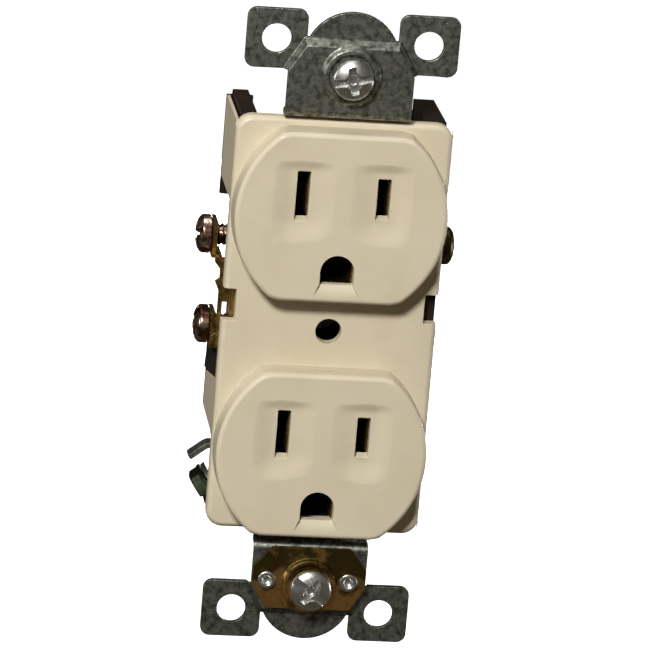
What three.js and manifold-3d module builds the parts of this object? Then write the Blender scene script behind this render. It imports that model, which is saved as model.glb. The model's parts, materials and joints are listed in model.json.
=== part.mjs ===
// Duplex wall outlet: a two-socket grounding receptacle with a wrap-around mounting strap.
// Millimetres. +X is to the right of someone facing the outlet, -Y comes out of the wall, +Z is up.
// The origin is the centre of the device, on the wall plane (the back of the strap's ears).

import * as THREE from 'three';
import { mergeVertices } from 'three/addons/utils/BufferGeometryUtils.js';
import Module from 'manifold-3d';

const wasm = await Module();
wasm.setup();

// ---------- driving dimensions ----------

const GAP = 0.3;

// Interfaces that every device of this kind shares.
const SCREW_HALF_SPACING = 41.67;
const FACE_HALF_PITCH = 19.45;
const SLOT_OFFSET_X = 6.35;
const SLOT_RISE = 3.4;
const GROUND_DROP = 8.5;

// Cover.
const PLATE_HALF_WIDTH = 17.1;
const PLATE_TOP = 34.3;
const PLATE_BOTTOM = -33.3;
const PLATE_FRONT = -0.6;
const PLATE_BACK = 1.6;
const FACE_FRONT = -5.2;
const FACE_RADIUS = 16.9;
const FACE_HALF_HEIGHT = 13.7;
const FACE_WALL = 2.2;
const SLOT_WIDTH = 2.05;
const NEUTRAL_SLOT_HEIGHT = 8.2;
const HOT_SLOT_HEIGHT = 6.9;
const GROUND_HOLE_RADIUS = 2.65;
const GROUND_HOLE_FLAT = 2.45;
const RAMP_HALF_WIDTH = 3.6;
const RAMP_HEIGHT = 1.9;
const RAMP_DEPTH = 0.9;
const CENTER_HOLE_RADIUS = 2.05;
const DISH_DEPTH = 0.7;
const PLATE_CORNER = 2.6;
const SKIRT = 0.55;
const SKIRT_BACK = 16.7;
const LEFT_SKIRT_TOP = 33.3;
const RIGHT_SKIRT_TOP = 32.2;
const RIGHT_SKIRT_BOTTOM = -31.3;
const RECESS_TOP = 20.4;
const RECESS_BOTTOM = -9.2;
const SKIRT_SLOPE = 3.5;
const LEFT_SKIRT_BOTTOM = -18.5;
const BOSS_RADIUS = 2.9;
const BOSS_BACK = 12;

// Back body.
const BODY_HALF_WIDTH = 16.2;
const BODY_TOP = 34.1;
const BODY_BOTTOM = -33.1;
const BODY_FRONT = PLATE_BACK + GAP;
const BODY_BACK = 17.7;
const BODY_WALL = 1.2;
const FLOOR = 1.8;
const TOWER_LEFT = -13.6;
const TOWER_RIGHT = 12.9;
const FLANGE_FRONT = SKIRT_BACK + GAP;
const FLANGE_BOTTOM = 16.9;
const BARRIER_HALF_WIDTH = 17.2;
const BARRIER_TOP = -6.6;
const STOP_BOTTOM = 1.5;
const STOP_TOP = 7.2;
const RECESS_WALL = 13.8;
const VALLEY_FRONT_Z = 33;
const VALLEY_BACK_Z = 29.2;
const FLOOR_FRONT = BODY_BACK - FLOOR - GAP;

// Strap.
const STRAP = 0.9;
const RAISED_FRONT = -2.2;
const RAISED_HALF_WIDTH = { '1': 9.9, '-1': 9.2 };
const RAISED_TIP_HALF_WIDTH = 7.2;
const RAISED_SHOULDER_Z = 42;
const RAISED_TIP_Z = 46.2;
const LIP_Z = 34.7;
const LIP_RADIUS = 1.3;
const LEG_BACK_Z = 29.6;
const STRAP_BACK = BODY_BACK + GAP;
const BACK_HALF_WIDTH = 7;
const EAR_X = 11.9;
const EAR_Z = 46.8;
const EAR_SIZE = 9.5;
const EAR_HOLE_RADIUS = 2.3;
const TIP_RADIUS = 7.5;
const TIP_Z = 44;
const COLLAR_RADIUS = 4.4;
const COLLAR_INNER_RADIUS = 3.6;

// Contacts and terminals.
const BRASS = 0.7;
const TERMINAL_INNER = 14.1;
const TERMINAL_OUTER = 14.9;
const CONTACT_HALF_GAP = 0.85;
const CONTACT_HALF_HEIGHT = 3.4;
const CONTACT_FRONT = -2.4;
const CONTACT_BACK = 14;
const TERMINAL_Y = 8;
const UPPER_TERMINAL_Z = 12.7;
const LOWER_TERMINAL_Z = -2.1;
const THREAD_HOLE_RADIUS = 2.1;
const UPPER_PLATE = [5.4, 19.7];
const LOWER_PLATE = [-6.3, 0.5];
const TERMINAL_BACK = 14;
const TAB_TOP_FRONT = 3;
const TAB_TOP_BACK = 8.5;
const TAB_LOW_FRONT = 11.4;
const LEAF_LOW_Z = -13;
const LINK_RANGE = [-4.5, 10.5];
const LINK_WINDOW = [1, 3.3];
const HOT_LINK_FRONT = 12.2;
const NOTCH_DEPTHS = [4.9, 11.1];

// Screws: each rests backed out of its driven-in place by its own amount.
const SHANK_RADIUS = 1.8;
const TERMINAL_HEAD = { radius: 3.1, height: 2.5, dome: 1.3, length: 6 };
const MOUNTING_HEAD = { height: 2, dome: 1.1, length: 19 };
const TOP_HEAD_RADIUS = 3.15;
const BOTTOM_HEAD_RADIUS = 3.3;
const GROUND_HEAD_HEIGHT = 2.4;
const GROUND_HEAD_FLATS = 7;
const CLAMP = 0.8;
const CLAMP_TOP = 2.5;
const CLAMP_BOTTOM = -2.8;
const CLAMP_HALF_WIDTH = 2.8;
const WING_REACH = 0.9;
const SEAT_GAP = 0.15;

// Ground terminal, on the cut-off lower left corner.
const GROUND_ANGLE = THREE.MathUtils.degToRad(38);
const GROUND_CENTER = new THREE.Vector3(-12.6, 6.2, -26.1);
const GROUND_PLATE_UP = 5.7;
const GROUND_PLATE_DOWN = 4;
const GROUND_BACKED_OUT = 2.8;
const LIP_BEND = 1;
const LIP_LENGTH = 3;

const OUT = new THREE.Vector3(-Math.cos(GROUND_ANGLE), 0, -Math.sin(GROUND_ANGLE));
const ALONG = new THREE.Vector3(Math.sin(GROUND_ANGLE), 0, -Math.cos(GROUND_ANGLE));

const IVORY = { color: 0xcfc5ab, roughness: 0.42, metalness: 0 };
const BROWN = { color: 0x241c19, roughness: 0.5, metalness: 0 };
const ZINC = { color: 0x8b8d86, roughness: 0.38, metalness: 1 };
const BRIGHT = { color: 0xc9cac6, roughness: 0.25, metalness: 1 };
const COPPER_ALLOY = { color: 0xaa8a56, roughness: 0.34, metalness: 1 };
const GREEN = { color: 0x39392a, roughness: 0.4, metalness: 0.8 };
const FIBRE = { color: 0x4a3b2c, roughness: 0.8, metalness: 0 };

// ---------- solids ----------

function solid(geometry) {
  const bare = geometry.clone();
  bare.deleteAttribute('normal');
  bare.deleteAttribute('uv');
  const merged = mergeVertices(bare, 1e-4);
  const corners = Array.from(merged.index.array);
  const triangles = [];
  for (let i = 0; i < corners.length; i += 3) {
    const [a, b, c] = corners.slice(i, i + 3);
    if (a !== b && b !== c && c !== a) {
      triangles.push(a, b, c);
    }
  }
  return new wasm.Manifold(new wasm.Mesh({
    numProp: 3,
    vertProperties: merged.getAttribute('position').array,
    triVerts: Uint32Array.from(triangles),
  }));
}

function geometryOf(manifold) {
  const mesh = manifold.getMesh();
  const geometry = new THREE.BufferGeometry();
  geometry.setAttribute('position', new THREE.BufferAttribute(mesh.vertProperties, 3));
  geometry.setIndex(new THREE.BufferAttribute(mesh.triVerts, 1));
  geometry.computeVertexNormals();
  return geometry;
}

const join = (solids) => solids.reduce((whole, next) => whole.add(next));
const cut = (whole, tools) => tools.reduce((left, tool) => left.subtract(tool), whole);

// A box between two corners, given as pairs in any order.
function block(x, y, z) {
  const size = [x, y, z].map(([a, b]) => Math.abs(b - a));
  const middle = [x, y, z].map(([a, b]) => (a + b) / 2);
  return solid(new THREE.BoxGeometry(...size).translate(...middle));
}

// A shape drawn in X and Z, as a plate between two depths.
function slab(shape, front, back, curveSegments = 12) {
  const geometry = new THREE.ExtrudeGeometry(shape, {
    depth: back - front, bevelEnabled: false, curveSegments,
  });
  return solid(geometry.rotateX(Math.PI / 2).translate(0, back, 0));
}

// The same, with its front edge rounded (or chamfered, with one segment).
function pad(shape, front, back, round, segments = 3, curveSegments = 12) {
  const geometry = new THREE.ExtrudeGeometry(shape, {
    depth: back - front,
    bevelThickness: round,
    bevelSize: round,
    bevelOffset: -round,
    bevelSegments: segments,
    curveSegments,
  });
  const whole = solid(geometry.rotateX(Math.PI / 2).translate(0, back + round, 0));
  const far = 60;
  return whole.subtract(block([-far, far], [back, back + 3 * round + far], [-far, far]));
}

// A shape drawn in Y and Z, as a bar between two values of X.
function bar(shape, x0, x1) {
  const geometry = new THREE.ExtrudeGeometry(shape, { depth: x1 - x0, bevelEnabled: false });
  geometry.applyMatrix4(new THREE.Matrix4().makeBasis(
    new THREE.Vector3(0, 1, 0), new THREE.Vector3(0, 0, 1), new THREE.Vector3(1, 0, 0),
  ));
  return solid(geometry.translate(x0, 0, 0));
}

// A round pin along Y.
function pin(x, z, radius, front, back, segments = 20) {
  const geometry = new THREE.CylinderGeometry(radius, radius, back - front, segments);
  return solid(geometry.translate(x, (front + back) / 2, z));
}

// A round pin along X.
function crossPin(y, z, radius, x0, x1, segments = 20) {
  const geometry = new THREE.CylinderGeometry(radius, radius, Math.abs(x1 - x0), segments);
  return solid(geometry.rotateZ(Math.PI / 2).translate((x0 + x1) / 2, y, z));
}

// A profile is a list of [radius, height], from the axis up the outside and back to the axis.
function lathe(profile, segments) {
  const points = profile.map(([radius, height]) => new THREE.Vector2(radius, height));
  return new THREE.LatheGeometry(points, segments);
}

// Turned round local Z, with heights measured outwards from the seat of its head.
const turned = (profile, segments = 28) => solid(lathe(profile, segments).rotateX(Math.PI / 2));

// Turned round Y, with heights measured towards the front.
const turnedToFront = (profile, segments = 20) => solid(lathe(profile, segments).rotateX(Math.PI));

// ---------- outlines ----------

function polygon(points) {
  return new THREE.Shape(points.map(([a, b]) => new THREE.Vector2(a, b)));
}

function roundedRectangle(x0, x1, z0, z1, radius) {
  const shape = new THREE.Shape();
  shape.absarc(x1 - radius, z1 - radius, radius, 0, Math.PI / 2);
  shape.absarc(x0 + radius, z1 - radius, radius, Math.PI / 2, Math.PI);
  shape.absarc(x0 + radius, z0 + radius, radius, Math.PI, 1.5 * Math.PI);
  shape.absarc(x1 - radius, z0 + radius, radius, 1.5 * Math.PI, 2 * Math.PI);
  return shape;
}

// A circle with its top and bottom cut off flat.
function faceOutline(radius, halfHeight, z) {
  const reach = Math.asin(halfHeight / radius);
  const shape = new THREE.Shape();
  shape.absarc(0, z, radius, -reach, reach);
  shape.absarc(0, z, radius, Math.PI - reach, Math.PI + reach);
  return shape;
}

// Round above, flat below.
function groundHole(z) {
  const shape = new THREE.Shape();
  shape.absarc(0, z, GROUND_HOLE_RADIUS, 0, Math.PI);
  shape.lineTo(-GROUND_HOLE_RADIUS, z - GROUND_HOLE_FLAT);
  shape.lineTo(GROUND_HOLE_RADIUS, z - GROUND_HOLE_FLAT);
  return shape;
}

// ---------- placing ----------

const part = new THREE.Group();
part.name = 'duplex_wall_outlet';

function addPart(name, manifold, look, parent = part) {
  const mesh = new THREE.Mesh(geometryOf(manifold), new THREE.MeshStandardMaterial(look));
  mesh.name = name;
  parent.add(mesh);
  return mesh;
}

// Local +Z goes outwards, along the screw's axis, and local +Y goes up.
function placed(origin, outward, up) {
  const group = new THREE.Group();
  const across = new THREE.Vector3().crossVectors(up, outward);
  group.quaternion.setFromRotationMatrix(new THREE.Matrix4().makeBasis(across, up, outward));
  group.position.copy(origin);
  part.add(group);
  return group;
}

// ---------- cover ----------

// One socket's front: the raised face, with the dishes, slots and ground hole cut through it.
function socketCuts(z) {
  const slotZ = z + SLOT_RISE;
  const groundZ = z - GROUND_DROP;
  const cuts = [];
  for (const side of [-1, 1]) {
    const height = side < 0 ? NEUTRAL_SLOT_HEIGHT : HOT_SLOT_HEIGHT;
    const x = side * SLOT_OFFSET_X;
    const dish = polygon([
      [side * 1.3, z + 8.6], [side * 10.6, z + 8.6], [side * 10.6, z - 3.2], [side * 1.3, z - 3.2],
    ]);
    cuts.push(dishCut(dish));
    cuts.push(block(
      [x - SLOT_WIDTH / 2, x + SLOT_WIDTH / 2], [FACE_FRONT - 1, 0],
      [slotZ - height / 2, slotZ + height / 2],
    ));
  }
  cuts.push(slab(groundHole(groundZ), FACE_FRONT - 1, 0, 10));
  cuts.push(rampCut(groundZ - GROUND_HOLE_FLAT));
  return cuts;
}

// The lead-in below a ground hole: it starts at the hole's own width and fades out, wider, below.
function rampCut(top) {
  const bottom = top - RAMP_HEIGHT;
  const wedge = bar(polygon([
    [FACE_FRONT, bottom], [FACE_FRONT + RAMP_DEPTH, top + 0.1],
    [FACE_FRONT - 1, top + 0.1], [FACE_FRONT - 1, bottom],
  ]), -RAMP_HALF_WIDTH, RAMP_HALF_WIDTH);
  const outline = polygon([
    [-GROUND_HOLE_RADIUS, top + 0.1], [-RAMP_HALF_WIDTH, bottom],
    [RAMP_HALF_WIDTH, bottom], [GROUND_HOLE_RADIUS, top + 0.1],
  ]);
  return wedge.intersect(slab(outline, FACE_FRONT - 2, FACE_FRONT + 2));
}

// A shallow dish: a plate with a chamfered far edge, sunk into the face.
function dishCut(shape) {
  const depth = DISH_DEPTH;
  const geometry = new THREE.ExtrudeGeometry(shape, {
    depth: 0.5, bevelThickness: depth, bevelSize: 1.4, bevelOffset: -1.4, bevelSegments: 1,
  });
  return solid(geometry.rotateX(Math.PI / 2).translate(0, FACE_FRONT, 0));
}

// Above and below the terminals, each side of the cover turns back along the body.
const SKIRTS = [
  { side: -1, bottom: RECESS_TOP - 0.25, top: LEFT_SKIRT_TOP, slope: 0 },
  { side: 1, bottom: RECESS_TOP - 0.25, top: RIGHT_SKIRT_TOP, slope: 0 },
  { side: -1, bottom: LEFT_SKIRT_BOTTOM, top: RECESS_BOTTOM + 0.2, slope: SKIRT_SLOPE },
  { side: 1, bottom: RIGHT_SKIRT_BOTTOM, top: RECESS_BOTTOM + 0.2, slope: SKIRT_SLOPE },
];

function skirts() {
  const front = PLATE_FRONT + 1.2;
  const span = (side) => [side * (PLATE_HALF_WIDTH - SKIRT), side * PLATE_HALF_WIDTH].sort((a, b) => a - b);
  return SKIRTS.map(({ side, bottom, top, slope }) => bar(polygon([
    [front, bottom], [SKIRT_BACK, bottom], [SKIRT_BACK, top - slope], [front, top],
  ]), ...span(side)));
}

const ASSEMBLY_Z = [25.5, -8.7];

function frontCover() {
  const plate = roundedRectangle(
    -PLATE_HALF_WIDTH, PLATE_HALF_WIDTH, PLATE_BOTTOM, PLATE_TOP, PLATE_CORNER,
  );
  const solids = [pad(plate, PLATE_FRONT, PLATE_BACK, 0.9, 2, 5), ...skirts()];
  const hollows = [];
  const cuts = [pin(0, 0, CENTER_HOLE_RADIUS, -2, PLATE_BACK + 1, 28)];
  for (const z of [FACE_HALF_PITCH, -FACE_HALF_PITCH]) {
    solids.push(pad(faceOutline(FACE_RADIUS, FACE_HALF_HEIGHT, z), FACE_FRONT, 0, 0.8, 3, 18));
    hollows.push(slab(
      faceOutline(FACE_RADIUS - 1.8, FACE_HALF_HEIGHT - 1.8, z), FACE_FRONT + FACE_WALL, 3, 14,
    ));
    cuts.push(...socketCuts(z));
  }
  const bosses = ASSEMBLY_Z.map((z) => pin(0, z, BOSS_RADIUS, FACE_FRONT + FACE_WALL - 0.2, BOSS_BACK));
  cuts.push(...ASSEMBLY_Z.map((z) => pin(0, z, 1.7, FACE_FRONT + FACE_WALL, BOSS_BACK + 1)));
  cuts.push(block([-18, -15], [-2, PLATE_BACK + 1], [1, 6.2]));
  cuts.push(block([18, 14.9], [-2, PLATE_BACK + 1], [2, 6.7]));
  return cut(join([cut(join(solids), hollows), ...bosses]), cuts);
}

// ---------- back body ----------

// Everything beyond a plane parallel to the ground terminal's plate.
function cornerCut(distance) {
  const size = 40;
  const geometry = new THREE.BoxGeometry(size, 2 * size, 2 * size);
  geometry.rotateY(-GROUND_ANGLE);
  const reach = distance + size / 2;
  return solid(geometry.translate(OUT.x * reach, 0, OUT.z * reach));
}

const PLATE_DISTANCE = GROUND_CENTER.dot(OUT);
const BODY_CORNER = PLATE_DISTANCE - STRAP - GAP;

function backBody() {
  const heights = [BODY_BOTTOM, BODY_TOP];
  const outside = [];
  const valley = (y) => VALLEY_FRONT_Z - (VALLEY_FRONT_Z - VALLEY_BACK_Z) * (y - BODY_FRONT)
    / (BODY_BACK - BODY_FRONT);
  const cavityFront = valley(BODY_FRONT - 1) - BODY_WALL;
  const cavityBack = valley(BODY_BACK - FLOOR) - BODY_WALL;
  const cavity = bar(polygon([
    [BODY_FRONT - 1, cavityFront], [BODY_BACK - FLOOR, cavityBack],
    [BODY_BACK - FLOOR, -cavityBack], [BODY_FRONT - 1, -cavityFront],
  ]), -BODY_HALF_WIDTH + BODY_WALL, BODY_HALF_WIDTH - BODY_WALL);
  for (const end of [-1, 1]) {
    outside.push(bar(polygon([
      [BODY_FRONT - 1, end * valley(BODY_FRONT - 1)], [BODY_BACK + 1, end * valley(BODY_BACK + 1)],
      [BODY_BACK + 1, end * 40], [BODY_FRONT - 1, end * 40],
    ]), TOWER_LEFT, TOWER_RIGHT));
  }
  const terminalRecess = [RECESS_BOTTOM, RECESS_TOP];
  const recessDepth = [BODY_FRONT - 1, BODY_BACK + 1];
  for (const side of [-1, 1]) {
    outside.push(block([side * RECESS_WALL, side * 20], recessDepth, terminalRecess));
    outside.push(block([side * 12, side * 14], [BODY_FRONT - 1, 9], [18.6, 20.2]));
    outside.push(block([side * 12, side * 14], [11, 14.4], [-6.6, -5.1]));
    for (const z of [UPPER_TERMINAL_Z, LOWER_TERMINAL_Z]) {
      outside.push(crossPin(TERMINAL_Y, z, SHANK_RADIUS + 0.5, side * 12, side * 15));
    }
  }
  const shell = cut(
    block([-BODY_HALF_WIDTH, BODY_HALF_WIDTH], [BODY_FRONT, BODY_BACK], heights),
    [cornerCut(BODY_CORNER)],
  );
  const hollow = cut(cavity, [
    cornerCut(BODY_CORNER - BODY_WALL),
    ...[-1, 1].map((side) => block(
      [side * (RECESS_WALL - BODY_WALL), side * 20], recessDepth,
      [RECESS_BOTTOM - BODY_WALL, RECESS_TOP + BODY_WALL],
    )),
  ]);
  const ribs = [];
  for (const side of [-1, 1]) {
    const flange = [side * (RECESS_WALL - 1), side * PLATE_HALF_WIDTH];
    const behind = [FLANGE_FRONT, BODY_BACK];
    const flangeTop = side < 0 ? LEFT_SKIRT_TOP : RIGHT_SKIRT_TOP;
    const flangeBottom = side < 0 ? LEFT_SKIRT_BOTTOM : RIGHT_SKIRT_BOTTOM;
    ribs.push(block(flange, behind, [FLANGE_BOTTOM, flangeTop]));
    ribs.push(block(flange, behind, [flangeBottom, BARRIER_TOP]));
    ribs.push(barrier(side));
  }
  ribs.push(...hotSideStop());
  const holes = [
    pin(0, 0, 2.9, BODY_BACK - FLOOR - 1, BODY_BACK + 1),
    ...ASSEMBLY_Z.map((z) => pin(0, z, 1.7, BODY_BACK - FLOOR - 1, BODY_BACK + 1)),
    ...GROUND_RIVET_Z.map((z) => pin(0, z, 1.5, BODY_BACK - FLOOR - 1, BODY_BACK + 1)),
    pin(BRACKET_RIVET.x, BRACKET_RIVET.z, 1.3, BODY_BACK - FLOOR - 1, BODY_BACK + 1),
    groundShankHole(SHANK_RADIUS + 0.5),
  ];
  return cut(join([cut(shell, [hollow, ...outside]), ...ribs]), holes);
}

// Between the two hot terminals, a block fills the notch in the cover's edge from behind.
function hotSideStop() {
  const depth = [BODY_FRONT, HOT_LINK_FRONT - 0.4];
  return [
    block([RECESS_WALL - 1, PLATE_HALF_WIDTH - 0.1], depth, [STOP_BOTTOM, UPPER_PLATE[0] - 0.4]),
    block([TERMINAL_OUTER + GAP, PLATE_HALF_WIDTH - 0.1], depth, [STOP_BOTTOM, STOP_TOP]),
  ];
}

// Below each pair of terminals, a wall stands out over the sloping end of the skirt.
function barrier(side) {
  const front = BODY_FRONT + 0.4;
  const outline = polygon([
    [front, BARRIER_TOP], [BODY_BACK, BARRIER_TOP],
    [BODY_BACK, RECESS_BOTTOM - SKIRT_SLOPE + 0.6], [SKIRT_BACK, RECESS_BOTTOM - SKIRT_SLOPE + 0.6],
    [front, RECESS_BOTTOM + 0.2],
  ]);
  return bar(outline, ...[side * (RECESS_WALL - 1), side * BARRIER_HALF_WIDTH].sort((a, b) => a - b));
}

// A hole along the ground screw's axis, through the corner wall and the terminal plate.
function groundShankHole(radius) {
  const geometry = new THREE.CylinderGeometry(radius, radius, 8, 20);
  geometry.rotateZ(Math.PI / 2).rotateY(-GROUND_ANGLE);
  return solid(geometry.translate(GROUND_CENTER.x, GROUND_CENTER.y, GROUND_CENTER.z));
}

// ---------- mounting strap ----------

function raisedOutline(end, grow) {
  const half = RAISED_HALF_WIDTH[end] + grow;
  const tip = RAISED_TIP_HALF_WIDTH + grow / 2;
  const shoulder = RAISED_SHOULDER_Z + grow / 2;
  return polygon([
    [-half, end * 33], [-half, end * shoulder], [-tip, end * (RAISED_TIP_Z + grow)],
    [tip, end * (RAISED_TIP_Z + grow)], [half, end * shoulder], [half, end * 33],
  ]);
}

function strapEnd(end) {
  const slope = 1.3;
  const flange = [];
  for (const side of [-1, 1]) {
    const x = [side * EAR_X - EAR_SIZE / 2, side * EAR_X + EAR_SIZE / 2];
    const z = [end * EAR_Z - EAR_SIZE / 2, end * EAR_Z + EAR_SIZE / 2];
    flange.push(slab(roundedRectangle(...x, ...z, 1.5), -STRAP, 0, 4));
  }
  const tip = new THREE.Shape();
  tip.absarc(0, end * TIP_Z, TIP_RADIUS, 0, 2 * Math.PI);
  flange.push(slab(tip, -STRAP, 0, 40));
  const beyond = block([-20, 20], [-10, 10], [end * (LIP_Z + LIP_RADIUS), end * 30]);
  const raised = pad(raisedOutline(end, slope), RAISED_FRONT, 0, slope, 1);
  const under = pad(raisedOutline(end, slope), RAISED_FRONT + STRAP, STRAP, slope, 1);
  const plate = cut(join([...flange, raised]), [under, beyond]);
  return join([trimSides(plate, end), leg(end)]);
}

// Beside the raised plate there is no flange, so its slopes end at its shoulders.
function trimSides(plate, end) {
  const outside = [-1, 1].map((side) => block(
    [side * (RAISED_HALF_WIDTH[end] + 0.2), side * 20], [-4, 2], [end * 30, end * (EAR_Z - EAR_SIZE / 2)],
  ));
  return cut(plate, outside);
}

// From the raised plate's lip, back along the end wall of the body.
function leg(end) {
  const profile = new THREE.Shape();
  const lipZ = end * LIP_Z;
  const turn = RAISED_FRONT + LIP_RADIUS;
  profile.moveTo(RAISED_FRONT, lipZ + end * (LIP_RADIUS + 0.2));
  profile.lineTo(RAISED_FRONT, lipZ + end * LIP_RADIUS);
  profile.absarc(turn, lipZ + end * LIP_RADIUS, LIP_RADIUS, Math.PI, -end * Math.PI / 2, end < 0);
  profile.lineTo(1, lipZ);
  profile.lineTo(STRAP_BACK, end * LEG_BACK_Z);
  profile.lineTo(STRAP_BACK, end * (LEG_BACK_Z - 2));
  profile.lineTo(STRAP_BACK + STRAP, end * (LEG_BACK_Z - 2));
  profile.lineTo(STRAP_BACK + STRAP, end * (LEG_BACK_Z + STRAP / 2));
  profile.lineTo(1.2, lipZ + end * STRAP);
  profile.lineTo(turn, lipZ + end * STRAP);
  profile.lineTo(RAISED_FRONT + STRAP, lipZ + end * LIP_RADIUS);
  profile.lineTo(RAISED_FRONT + STRAP, lipZ + end * (LIP_RADIUS + 0.2));
  const half = RAISED_HALF_WIDTH[end];
  const taper = new THREE.ExtrudeGeometry(polygon([
    [-half, -5], [half, -5], [half, 4], [BACK_HALF_WIDTH, 14], [BACK_HALF_WIDTH, 22],
    [-BACK_HALF_WIDTH, 22], [-BACK_HALF_WIDTH, 14], [-half, 4],
  ]), { depth: 100, bevelEnabled: false });
  const wide = bar(profile, -half - 1, half + 1);
  return wide.intersect(solid(taper.translate(0, 0, -50)));
}

function mountingStrap() {
  const back = block(
    [-BACK_HALF_WIDTH, BACK_HALF_WIDTH], [STRAP_BACK, STRAP_BACK + STRAP], [-LEG_BACK_Z + 1, LEG_BACK_Z - 1],
  );
  const collar = pin(0, SCREW_HALF_SPACING, COLLAR_RADIUS, RAISED_FRONT - 0.6, RAISED_FRONT + 0.2, 40);
  const collarBore = pin(0, SCREW_HALF_SPACING, COLLAR_INNER_RADIUS, RAISED_FRONT - 1, RAISED_FRONT, 40);
  const whole = join([strapEnd(1), strapEnd(-1), back, collar.subtract(collarBore)]);
  const holes = [
    pin(0, 0, 2.9, STRAP_BACK - 1, STRAP_BACK + 2),
    ...ASSEMBLY_Z.map((z) => pin(0, z, 1.7, STRAP_BACK - 1, STRAP_BACK + 2)),
    ...GROUND_RIVET_Z.map((z) => pin(0, z, 1.5, STRAP_BACK - 1, STRAP_BACK + 2)),
    pin(BRACKET_RIVET.x, BRACKET_RIVET.z, 1.3, STRAP_BACK - 1, STRAP_BACK + 2),
    ...Object.values(EYELETS).map((x) => pin(x, EYELET_Z, 1.1, -4, 1)),
  ];
  for (const end of [-1, 1]) {
    holes.push(pin(0, end * SCREW_HALF_SPACING, SHANK_RADIUS + 0.4, -5, 2));
    for (const side of [-1, 1]) {
      holes.push(pin(side * EAR_X, end * EAR_Z, EAR_HOLE_RADIUS, -2, 1, 28));
    }
  }
  return cut(whole, holes);
}

// ---------- contacts ----------

// One stamping a side: two slot contacts, two terminal plates and the break-off link that joins them.
function bus(side) {
  const solids = [];
  const inner = SLOT_OFFSET_X - CONTACT_HALF_GAP;
  const outer = SLOT_OFFSET_X + CONTACT_HALF_GAP;
  for (const z of [FACE_HALF_PITCH + SLOT_RISE, -FACE_HALF_PITCH + SLOT_RISE]) {
    const heights = [z - CONTACT_HALF_HEIGHT, z + CONTACT_HALF_HEIGHT];
    solids.push(cut(
      block([side * (inner - BRASS), side * (outer + BRASS)], [CONTACT_FRONT, CONTACT_BACK], heights),
      [block([side * inner, side * outer], [CONTACT_FRONT - 1, CONTACT_BACK - BRASS], [z - 10, z + 10])],
    ));
  }
  const leaf = [side * outer, side * (outer + BRASS)];
  const plate = [side * TERMINAL_INNER, side * TERMINAL_OUTER];
  const tab = [side * outer, side * TERMINAL_OUTER];
  const tabTop = [UPPER_PLATE[1] - BRASS, UPPER_PLATE[1]];
  const tabLow = [LOWER_PLATE[0], LOWER_PLATE[0] + BRASS];
  solids.push(block(tab, [TAB_TOP_FRONT, TAB_TOP_BACK], tabTop));
  solids.push(block(tab, [TAB_LOW_FRONT, TERMINAL_BACK], tabLow));
  solids.push(block(leaf, [TAB_LOW_FRONT, TERMINAL_BACK], [LEAF_LOW_Z, tabLow[1]]));
  for (const [range, z] of [[UPPER_PLATE, UPPER_TERMINAL_Z], [LOWER_PLATE, LOWER_TERMINAL_Z]]) {
    solids.push(block(plate, [BODY_FRONT, TERMINAL_BACK], range).subtract(wingNotch(side, z)));
  }
  solids.push(side < 0 ? neutralLink() : hotLink());
  return cut(join(solids), [UPPER_TERMINAL_Z, LOWER_TERMINAL_Z].map((z) => crossPin(
    TERMINAL_Y, z, THREAD_HOLE_RADIUS, side * 13, side * 16, 24,
  )));
}

// Room in a terminal plate for the clamp's bent edge.
function wingNotch(side, z) {
  const edge = z + CLAMP_BOTTOM;
  return block([side * 13, side * 16], NOTCH_DEPTHS, [edge - 0.85, edge + 0.5]);
}

// The two break-off links: the neutral one in front of its terminals, the hot one behind them.
function neutralLink() {
  const outline = polygon([
    [-TERMINAL_INNER, LINK_RANGE[0]], [-17.2, LINK_RANGE[0]], [-17.6, -3.4], [-17.6, 5], [-18.3, 6.6],
    [-17.6, 7.1], [-17.6, 8.6], [-18.5, 9.7], [-18.5, LINK_RANGE[1]], [-TERMINAL_INNER, LINK_RANGE[1]],
  ]);
  const window = block([-16.9, -15.8], [0, 5], LINK_WINDOW);
  return slab(outline, BODY_FRONT, BODY_FRONT + BRASS).subtract(window);
}

function hotLink() {
  const front = HOT_LINK_FRONT;
  const link = block([TERMINAL_INNER, 16.4], [front, front + BRASS], LINK_RANGE);
  const window = block([15.1, 15.8], [front - 1, front + 2], LINK_WINDOW);
  return link.subtract(window);
}

const GROUND_Z = [FACE_HALF_PITCH - GROUND_DROP, -FACE_HALF_PITCH - GROUND_DROP];
const GROUND_FOOT = [-1, 1];
const GROUND_RIVET_Z = GROUND_Z.map((z, i) => z + GROUND_FOOT[i] * 5.2);
const GROUND_INNER = 2.5;

// A three-sided cup for the ground pin, with a foot that is riveted through the body to the strap.
function groundContact(z, toward) {
  const outer = GROUND_INNER + BRASS;
  const webStart = z + toward * 2.7;
  const leaf = polygon([
    [CONTACT_FRONT, z - toward * 2.4], [5, z - toward * 2.4], [11, z + toward * 0.6],
    [FLOOR_FRONT, z + toward * 0.6], [FLOOR_FRONT, webStart + toward * BRASS],
    [CONTACT_FRONT, webStart + toward * BRASS],
  ]);
  const space = block(
    [-GROUND_INNER, GROUND_INNER], [CONTACT_FRONT - 1, FLOOR_FRONT + 1], [z - toward * 4, webStart],
  );
  const foot = block([-outer, outer], [FLOOR_FRONT - BRASS, FLOOR_FRONT], [webStart, z + toward * 7]);
  const hole = pin(0, z + toward * 5.2, 1.5, FLOOR_FRONT - 2, FLOOR_FRONT + 1);
  return bar(leaf, -outer, outer).subtract(space).add(foot).subtract(hole);
}

// ---------- turned pieces and fasteners ----------

// A rivet along Y: a head at each end of a plain shank.
function rivet(shank, head, headHeight, front, back) {
  return turnedToFront([
    [0, -back - headHeight], [head, -back - headHeight], [head, -back], [shank, -back],
    [shank, -front], [head, -front], [head, -front + headHeight], [0, -front + headHeight],
  ]);
}

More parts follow.
